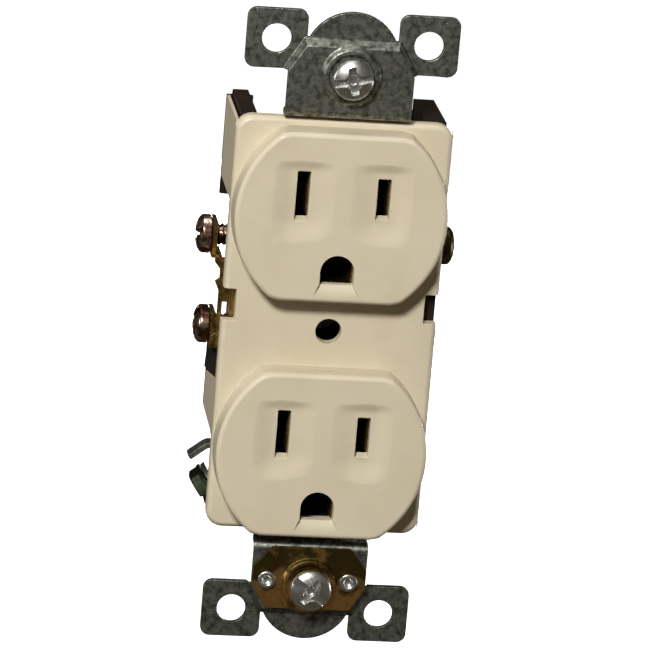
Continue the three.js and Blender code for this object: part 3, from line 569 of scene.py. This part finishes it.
# The clip's colour is painted darker towards its top, as painted shade under the cover; lower down it is
# lighter brass.
CLIP_BRASS = metal(
    "spring_brass", (0.10, 0.068, 0.018), (0.90, 0.52, 0.18), (0.8, 0.5, 0.2), 0.3, 0.3, (0.42, 0.62),
    painted_shade_heights=(-0.037, -0.046),
)
BRASS_SCREW = metal("brass_screw", (0.05, 0.038, 0.018), (0.16, 0.125, 0.06), (0.3, 0.25, 0.15), 0.3, 0.6)
# Coppered screw heads: a dark copper tone with pale patches that are painted highlights.
COPPERED_WITH_PAINTED_HIGHLIGHTS = metal(
    "coppered_steel_painted_highlights", (0.13, 0.055, 0.03), (0.80, 0.62, 0.5), (0.95, 0.88, 0.8), 0.2, 0.7, (0.44, 0.62)
)
GREEN = metal("green_plate", (0.010, 0.014, 0.008), (0.026, 0.030, 0.017), (0.10, 0.11, 0.07), 0.5, 0.5)
FIBRE = fibre_material("pressed_fibre")


# ---------- cover ----------

DISH_DEPTH = 0.52


def face_outline(z, radius=16.9, half=13.7, corner=1.1):
    """A circle with a flat top and bottom, and a small radius where they meet."""
    reach = math.degrees(math.asin((half - 0.35) / radius))
    points = []
    for start in (-reach, 180 - reach):
        points += arc(0, z, radius, start, start + 2 * reach, 40)
        side = 1 if start < 0 else -1
        x = math.sqrt(radius ** 2 - half ** 2) - corner
        points.append((side * x, z + side * half))
        points.append((-side * x, z + side * half))
    return points


def smooth_step(value, low, high):
    t = min(1.0, max(0.0, (value - low) / (high - low)))
    return t * t * (3 - 2 * t)


def dish_depth(across, up):
    """How deep the dish is, across from the face's middle and up from its centre."""
    bottom = -3.2 - 0.16 * min(across, 7.0)
    side = smooth_step(across, 0.6, 5.4) * (1 - smooth_step(across, 7.6, 11.4))
    height = smooth_step(up, bottom - 0.4, bottom + 3.8) * (1 - smooth_step(up, 7.5, 9.4))
    return DISH_DEPTH * side * height


def dish(side, z):
    """A cutter whose back is the dish's surface."""
    columns, rows = 34, 44
    front = []
    for i in range(columns + 1):
        across = 0.5 + (11.6 - 0.5) * i / columns
        for k in range(rows + 1):
            up = -4.9 + (9.5 + 4.9) * k / rows
            front.append((side * across, FACE_FRONT + dish_depth(across, up) - 0.02, z + up))
    verts = front + [(x, FACE_FRONT - 1, zz) for x, _, zz in front]
    offset = len(front)
    stride = rows + 1
    faces = []
    for i in range(columns):
        for k in range(rows):
            a = i * stride + k
            quad = (a, a + stride, a + stride + 1, a + 1)
            faces += [quad, tuple(offset + n for n in reversed(quad))]
    rim = [k for k in range(stride)]
    rim += [i * stride + rows for i in range(1, columns + 1)]
    rim += [columns * stride + k for k in range(rows - 1, -1, -1)]
    rim += [i * stride for i in range(columns - 1, 0, -1)]
    for n, here in enumerate(rim):
        there = rim[(n + 1) % len(rim)]
        faces.append((here, there, offset + there, offset + here))
    return fix_normals(new_object("dish", verts, faces))


def ground_outline(z, radius=2.65, flat=2.15):
    return arc(0, z, radius, 0, 180, 20) + [(-radius, z - flat), (radius, z - flat)]


def socket_cutters(z):
    ground_z = z - GROUND_DROP
    cutters = [dish(-1, z), dish(1, z)]
    for side, height in ((-1, 8.2), (1, 6.9)):
        x, middle = side * SLOT_X, z + SLOT_RISE
        foot = middle - height / 2
        slot = (x - 1.03, x + 1.03)
        cutters.append(box(slot, (FACE_FRONT - 1, 0), (foot + 0.7, middle + height / 2 - 0.15)))
        cutters.append(lead_in(foot + 0.7, 1.03, 1.06, 2.6, 0.7, x))
    cutters.append(prism(ground_outline(ground_z), FACE_FRONT - 1, 0))
    cutters.append(lead_in(ground_z - 2.15, 2.65, 3.6))
    return cutters


def lead_in(top, narrow, wide, depth=0.8, height=2.0, x=0.0):
    """The slope below a hole: its half width at the top, its half width where it fades out below."""
    floor = [
        (x - narrow, FACE_FRONT + depth, top + 0.05), (x + narrow, FACE_FRONT + depth, top + 0.05),
        (x + wide, FACE_FRONT, top - height), (x - wide, FACE_FRONT, top - height),
    ]
    front = [(x, FACE_FRONT - 1, z) for x, _, z in floor]
    return rings("lead_in", [floor, front])


def skirt(side, low, high, slope=0.0):
    """One side of the cover turned back along the body, with its upper end square or sloping down."""
    front, back = PLATE_FRONT + 1.0, COVER_HIGH.y
    outline = [(front, low), (back, low), (back, high - slope), (front, high)]
    return bar(outline, *sorted((side * (HALF_WIDTH - 0.55), side * HALF_WIDTH)))


def make_cover():
    plate = pad(rounded(-HALF_WIDTH, HALF_WIDTH, PLATE_BOTTOM, PLATE_TOP, 2.6), PLATE_FRONT, PLATE_BACK, 0.9)
    skirts = [
        skirt(-1, 20.15, 33.3), skirt(1, 20.15, 32.2),
        skirt(-1, -18.5, -9.0, 3.5), skirt(1, -31.3, -9.0, 3.5),
    ]
    join(plate, *skirts)
    for z in (FACE_Z, -FACE_Z):
        join(plate, pad(face_outline(z), FACE_FRONT, 0.2, 0.8, lean=0.12))
        cut(plate, prism(face_outline(z, 15.1, 11.9), FACE_FRONT + 2.2, 3))
    for z in (25.5, -8.7):
        join(plate, hole(0, z, 2.9, FACE_FRONT + 2.0, 12))
        cut(plate, hole(0, z, 1.7, FACE_FRONT + 2.2, 13))
    for z in (FACE_Z, -FACE_Z):
        cut(plate, *socket_cutters(z))
    cut(plate, hole(0, 0, 2.05, -2, 3, 40))
    cut(plate, box((-18, -15), (-2, PLATE_BACK + 1), (1.0, 6.2)))
    cut(plate, box((18, 14.9), (-2, PLATE_BACK + 1), (2.0, 6.7)))
    tidy(plate)
    soften(plate, 0.14, 24, 2)
    return shade(plate)


# ---------- strap ----------


HALF_WIDTHS = {1: 9.9, -1: 9.2}


def raised_outline(end, grow):
    """The raised plate's outline at one height of its slope, which is steep at the sides."""
    half = HALF_WIDTHS[end] + 0.5 * grow
    tip = 7.2 + 0.3 * grow
    shoulder, top = 42 + 0.4 * grow, 46.2 + grow
    points = [(-half, 33), (half, 33), (half, shoulder), (tip, top), (-tip, top), (-half, shoulder)]
    return points if end > 0 else [(x, -z) for x, z in reversed(points)]


def raised(end, front, back):
    """The raised plate's block, with its sides sloping back to the flange."""
    slope = 1.3
    loops = [[(x, back, z) for x, z in raised_outline(end, 0.8 * slope)]]
    for i in range(7):
        t = i / 6
        grow = 0.8 * slope * (1 - t * t * (3 - 2 * t))
        loops.append([(x, front + slope * (1 - t), z) for x, z in raised_outline(end, grow)])
    return rings("raised", loops)


def leg_outline(end):
    """The side view of the strap from its lip, back along the body's end."""
    turn = RAISED_FRONT + 1.3
    back = STRAP_HIGH.y
    inside = back - STRAP_THICK
    under = RAISED_FRONT + STRAP_THICK
    outer = [(RAISED_FRONT, 36.4)] + arc(turn, 36.0, 1.3, 180, 270, 8)
    outer += [(1.0, 34.7), (inside, 29.6), (inside, 27.6), (back, 27.6), (back, 30.05)]
    inner = [(1.2, 35.6), (turn, 35.6), (under, 36.0), (under, 36.4)]
    return [(y, end * z) for y, z in outer + inner]


# Where the bushing, the assembly pins, the ground rivets and the terminal's rivet go through the back.
BACK_HOLES = [
    (0, 0, 2.9), (0, 25.5, 1.7), (0, -8.7, 1.7), (0, 5.75, 1.5), (0, -22.75, 1.5), (-4.8, -18, 1.3),
]


def make_strap():
    pieces = []
    for end in (1, -1):
        half = HALF_WIDTHS[end]
        tip = prism(arc(0, end * 44, 7.5, 0, 354, 59), -STRAP_THICK, 0)
        for side in (-1, 1):
            ear = rounded(
                side * EAR_X - EAR_SIZE / 2, side * EAR_X + EAR_SIZE / 2,
                end * EAR_Z - EAR_SIZE / 2, end * EAR_Z + EAR_SIZE / 2, 1.5,
            )
            join(tip, prism(ear, -STRAP_THICK, 0))
        join(tip, raised(end, RAISED_FRONT, 0.001))
        cut(tip, raised(end, RAISED_FRONT + STRAP_THICK, 0.9))
        cut(tip, box((-20, 20), (-10, 10), (end * 36.0, end * 30)))
        for side in (-1, 1):
            cut(tip, box((side * half, side * 20), (-4, 2), (end * 30, end * (EAR_Z - EAR_SIZE / 2))))
        leg = bar(leg_outline(end), -half, half)
        for side in (-1, 1):
            taper = [(side * 12, -0.5), (side * half, 0.5), (side * 7, 14), (side * 7, 25), (side * 12, 25)]
            cut(leg, rings("taper", [[(x, y, z) for x, y in taper] for z in (-50, 50)]))
        join(tip, leg)
        if end > 0:
            root, rim = (0, RAISED_FRONT + 0.3, SCREW_Z), (0, STRAP_LOW.y, SCREW_Z)
            join(tip, rod(root, rim, 5.1, 56, "collar", 4.2))
            cut(tip, hole(0, SCREW_Z, 3.5, RAISED_FRONT - 1, RAISED_FRONT + 0.05, 48))
        pieces.append(tip)
    strap = pieces[0]
    back = box((-7, 7), (STRAP_HIGH.y - STRAP_THICK, STRAP_HIGH.y), (-28.6, 28.6))
    join(strap, pieces[1], back)
    for end in (1, -1):
        cut(strap, hole(0, end * SCREW_Z, 2.2, -6, 2))
        for side in (-1, 1):
            cut(strap, hole(side * EAR_X, end * EAR_Z, 2.3, -2, 1, 40))
    for x, z, radius in BACK_HOLES:
        cut(strap, hole(x, z, radius, STRAP_HIGH.y - 2, STRAP_HIGH.y + 1))
    for x in (-6.9, 6.2):
        cut(strap, hole(x, -40.8, 1.1, -4, 1))
    tidy(strap)
    soften(strap, 0.16, 30, 2)
    return shade(strap)


# ---------- clip and its eyelets ----------


def make_clip():
    back, front = CLIP_HIGH.y, CLIP_HIGH.y - 0.5
    outline = [
        (-6.3, -35.3), (-9.1, -38.8), (-9.1, -41.8), (-6.8, -45.7), (6.8, -45.7), (9.1, -41.8), (9.1, -38.8),
        (6.3, -35.3),
    ]
    clip = prism(outline, front, back)
    join(clip, rod((0, back, -SCREW_Z), (0, front - 0.5, -SCREW_Z), 4.9, 56, "collar", 4.2))
    cut(clip, hole(0, -SCREW_Z, 3.6, front - 1, front + 0.05, 48))
    cut(clip, hole(0, -SCREW_Z, 2.2, -6, 0))
    for x in (-6.9, 6.2):
        cut(clip, hole(x, -40.8, 1.1, -6, 0))
    tidy(clip)
    soften(clip, 0.1, 30, 2)
    return shade(clip)


def make_eyelet(side):
    low, high = low_high(f"clip_eyelet_{'left' if side < 0 else 'right'}")
    length = high.y - low.y
    profile = [
        (0, -length), (1.45, -length), (1.45, -length + 0.45), (0.8, -length + 0.5), (0.8, -0.5),
        (1.5, -0.42), (1.45, -0.1), (1.05, 0), (0.75, -0.12), (0.62, -0.9), (0, -0.95),
    ]
    eyelet = lathe(round_corner(profile, 0.14), 40)
    place(eyelet, ((low.x + high.x) / 2, low.y, (low.z + high.z) / 2), (0, -1, 0), (0, 0, 1))
    return shade(eyelet, 50)


# ---------- screws ----------


def cross_cutters(radius, height, slot_depth, cross_depth):
    """A slot right across the head, and the shorter arm that makes it a cross."""
    slot = box((-radius - 1, radius + 1), (-0.6, 0.6), (height - slot_depth, height + 1))
    socket = rod((0, 0, height + 0.3), (0, 0, height - cross_depth), 1.5, 24, "socket", 0.7)
    cross = box((-0.6, 0.6), (-0.68 * radius, 0.68 * radius), (height - cross_depth * 0.85, height + 1))
    return [slot, cross, socket]


def make_screw(radius, height, dome, length, turn=0.0, shank=1.8):
    profile = [(0, -0.02), (radius - 0.25, -0.02), (radius, 0.2), (radius, height - dome)]
    for i in range(1, 8):
        angle = i / 8 * math.pi / 2
        profile.append((radius * math.cos(angle), height - dome + dome * math.sin(angle)))
    profile += [(0.3, height), (0, height)]
    head = lathe(profile, 56)
    join(head, thread(shank, length))
    cut(head, *cross_cutters(radius, height, 1.05, 1.6))
    head.data.transform(Matrix.Rotation(math.radians(turn), 4, "Z"))
    tidy(head)
    soften(head, 0.05, 55, 1)
    return shade(head, 40)


def make_hex_screw(length):
    corner = 7 / math.sqrt(3)
    hexagon = arc(0, 0, corner, 0, 300, 5)
    head = rings("hex", [[(x, y, z) for x, y in hexagon] for z in (0.3, 2.4)])
    crown = lathe([(0, 0), (4.6, 0), (4.6, 1.75), (3.3, 2.4), (0, 2.4)], 48)
    combine(head, crown, "INTERSECT")
    join(head, lathe(round_corner([(0, 0), (4.1, 0), (4.1, 0.62), (0, 0.62)], 0.18), 56))
    join(head, thread(1.8, length))
    cut(head, box((-5, 5), (-0.55, 0.55), (1.5, 4)))
    tidy(head)
    soften(head, 0.07, 30, 2)
    return shade(head, 40)


def make_washer(outer, inner, thickness):
    profile = [(inner, -thickness), (outer, -thickness), (outer, 0), (inner, 0)]
    washer = lathe(profile, 48)
    soften(washer, 0.12, 30, 3)
    return shade(washer)


def make_rivet(node, shank, head, height, both=True):
    """A rivet along Y, with its back head domed."""
    low, high = low_high(node)
    length = high.y - low.y
    profile = [(0, -length)]
    for i in range(7, -1, -1):
        angle = i / 8 * math.pi / 2
        profile.append((head * math.cos(angle), -length + height * (1 - math.sin(angle))))
    profile += [(head, -length + height), (shank, -length + height + 0.02)]
    if both:
        profile += [(shank, -height - 0.02), (head, -height), (head * 0.96, -0.15), (head * 0.8, 0)]
    else:
        profile += [(shank, -0.4), (shank * 0.8, 0)]
    profile.append((0, 0))
    rivet = lathe(profile, 40)
    place(rivet, ((low.x + high.x) / 2, low.y, (low.z + high.z) / 2), (0, -1, 0), (0, 0, 1))
    return shade(rivet, 40)


def make_bushing():
    low, high = low_high("center_bushing")
    length = high.y - low.y
    floor = 15.6 - low.y
    back = 19.2 - low.y
    profile = [(1.75, -length), (3.4, -length), (3.4, -back), (2.6, -back), (2.6, -floor), (3.4, -floor)]
    profile += [(3.4, -floor + 0.7), (2.6, -floor + 0.7), (2.6, 0)]
    turns = int(length / PITCH) * 2
    for i in range(turns + 1):
        profile.append((1.75 if i % 2 else 1.5, -length * i / turns * 0.98 - 0.1))
    bushing = lathe(profile, 40)
    soften(bushing, 0.06, 60, 1)
    place(bushing, (0, low.y, 0), (0, -1, 0), (0, 0, 1))
    return shade(bushing)


# ---------- building every piece ----------

hand_in(make_cover(), "front_cover", ROOT, IVORY)
hand_in(make_strap(), "mounting_strap", ROOT, ZINC)
hand_in(make_clip(), "ground_clip", ROOT, CLIP_BRASS)
for side, where in ((-1, "left"), (1, "right")):
    hand_in(make_eyelet(side), f"clip_eyelet_{where}", ROOT, BRIGHT)

REFINED = [
    ("back_body", "back", BROWN, 0.2),
    ("neutral_bus", "brass", BRASS, 0.05),
    ("hot_bus", "brass", BRASS, 0.05),
    ("ground_contact_upper", "brass", BRASS, 0.09),
    ("ground_contact_lower", "brass", BRASS, 0.09),
    ("ground_terminal", "strap", ZINC, 0.14),
]
for node, slot, material, width in REFINED:
    piece = copy_of_node(node)
    soften(piece, width, 30, 2)
    hand_in(shade(piece), node, ROOT, material)

for where in ("upper", "lower"):
    rivet = make_rivet(f"ground_rivet_{where}", 1.2, 1.7, 0.6)
    hand_in(rivet, f"ground_rivet_{where}", ROOT, STEEL)
    pin = make_rivet(f"assembly_pin_{where}", 1.4, 2.6, 0.9, both=False)
    hand_in(pin, f"assembly_pin_{where}", ROOT, STEEL)
rivet = make_rivet("ground_terminal_rivet", 1.0, 1.7, 0.5)
hand_in(rivet, "ground_terminal_rivet", ROOT, STEEL)
hand_in(make_bushing(), "center_bushing", ROOT, STEEL)

TERMINALS = [
    ("neutral_upper", -1, 25, "screw_plated", COPPERED_WITH_PAINTED_HIGHLIGHTS),
    ("neutral_lower", -1, 70, "screw_plated", COPPERED_WITH_PAINTED_HIGHLIGHTS),
    ("hot_upper", 1, 110, "screw_brass", BRASS_SCREW),
    ("hot_lower", 1, 15, "screw_brass", BRASS_SCREW),
]
TERMINAL_HEAD = 2.5
MOUNTING_HEAD = 2.0
for name, side, turn, slot, material in TERMINALS:
    low, high = low_high(f"{name}_screw")
    middle = (low + high) / 2
    crown = high.x if side > 0 else low.x
    seat = Vector((crown - side * TERMINAL_HEAD, middle.y, middle.z))
    screw = make_screw(3.1, TERMINAL_HEAD, 1.3, 6, turn)
    place(screw, seat, (side, 0, 0), (0, 0, 1))
    hand_in(screw, f"{name}_screw", f"{name}_screw", material)
    clamp = copy_of_node(f"{name}_clamp")
    soften(clamp, 0.12, 30, 2)
    hand_in(shade(clamp), f"{name}_clamp", f"{name}_clamp", BRASS)

for name, radius, turn in (("top", 3.15, 12), ("bottom", 3.3, -35)):
    low, high = low_high(f"mounting_screw_{name}")
    middle = (low + high) / 2
    screw = make_screw(radius, MOUNTING_HEAD, 1.1, 19, turn)
    place(screw, (middle.x, low.y + MOUNTING_HEAD, middle.z), (0, -1, 0), (0, 0, 1))
    hand_in(screw, f"mounting_screw_{name}", f"mounting_screw_{name}", BRIGHT)
    low, high = low_high(f"screw_retainer_{name}")
    middle = (low + high) / 2
    washer = make_washer(4, 2, 0.8)
    place(washer, (middle.x, low.y, middle.z), (0, -1, 0), (0, 0, 1))
    hand_in(washer, f"screw_retainer_{name}", f"screw_retainer_{name}", FIBRE)

inward = [j for j in frame["joints"] if j["name"] == "ground_turn"][0]
axis = Vector(inward["axis"])
low, high = low_high("ground_screw")
terminal_point = Vector(inward["pos_m"]) / MM
reach = 0.1 + 0.8 + 0.15 + 2.8
ground_up = Vector((0, 1, 0)).cross(-axis)
screw = make_hex_screw(7)
place(screw, terminal_point - axis * reach, -axis, ground_up)
hand_in(screw, "ground_screw", "ground_screw", GREEN)
washer = make_washer(3.9, 2.1, 0.8)
place(washer, terminal_point - axis * (reach - 0.15), -axis, ground_up)
hand_in(washer, "ground_clamp", "ground_clamp", STEEL)


# ---------- stage ----------

FLOOR_DROP = 0.22


def make_floor():
    size = 9.0
    z = cad_box[0][2] - FLOOR_DROP
    corners = [(-size, -size, z), (size, -size, z), (size, size, z), (-size, size, z)]
    floor = new_object("floor", corners, [(0, 1, 2, 3)])
    paint = Paint("pale_floor")
    tone = paint.mix(paint.noise(0.01, 3, 0.5), (0.9, 0.9, 0.9), (0.94, 0.94, 0.94))
    paint.set(base_color=tone, roughness=0.9, emission_color=tone)
    paint.shader.inputs["Emission Strength"].default_value = 1.0
    floor.data.materials.append(paint.material)
    floor.visible_diffuse = False
    floor.visible_glossy = False


def area_light(name, direction, distance, size, power):
    data = bpy.data.lights.new(name, "AREA")
    data.shape = "DISK"
    data.size = size
    data.energy = power
    lamp = bpy.data.objects.new(name, data)
    bpy.context.scene.collection.objects.link(lamp)
    towards = Vector(direction).normalized()
    lamp.location = towards * distance
    lamp.rotation_euler = towards.to_track_quat("Z", "Y").to_euler()


def make_camera():
    """The camera stands off the device's front, a little above it and to its left, and is rolled."""
    lift, swing, roll = (math.radians(a) for a in (16.06, 7.58, 4.86))
    aim = Vector((0.48, 700.0, -0.86)) * MM
    turn = Matrix.Rotation(roll, 3, "Y") @ Matrix.Rotation(lift, 3, "X") @ Matrix.Rotation(swing, 3, "Z")
    back = turn.transposed()
    data = bpy.data.cameras.new("camera")
    data.sensor_width = 36
    data.lens = 4437 / 650 * 36
    data.clip_start, data.clip_end = 0.05, 20
    camera = bpy.data.objects.new("camera", data)
    bpy.context.scene.collection.objects.link(camera)
    right, up, behind = back @ Vector((1, 0, 0)), back @ Vector((0, 0, 1)), back @ Vector((0, -1, 0))
    axes = Matrix((right, up, behind)).transposed()
    camera.matrix_world = Matrix.Translation(-(back @ aim)) @ axes.to_4x4()
    bpy.context.scene.camera = camera


make_floor()
area_light("key", (-0.31, -0.78, 0.585), 1.1, 0.2, 13.2)
area_light("fill", (0.35, -0.9, 0.3), 1.4, 0.9, 0.06)
area_light("sky", (-0.1, 0.05, 1.0), 1.0, 0.6, 2.6)
area_light("side", (-1.0, -0.22, 0.15), 1.0, 0.3, 1.3)
area_light("back", (0.3, 1.0, -0.25), 1.2, 0.5, 9)
area_light("right", (1.0, 0.14, -0.1), 1.1, 0.4, 3)
world = bpy.data.worlds.new("studio")
world.use_nodes = True
world.node_tree.nodes["Background"].inputs["Color"].default_value = (1, 0.87, 0.66, 1)
world.node_tree.nodes["Background"].inputs["Strength"].default_value = 0.07
bpy.context.scene.world = world
bpy.context.scene.view_settings.view_transform = "Standard"
make_camera()
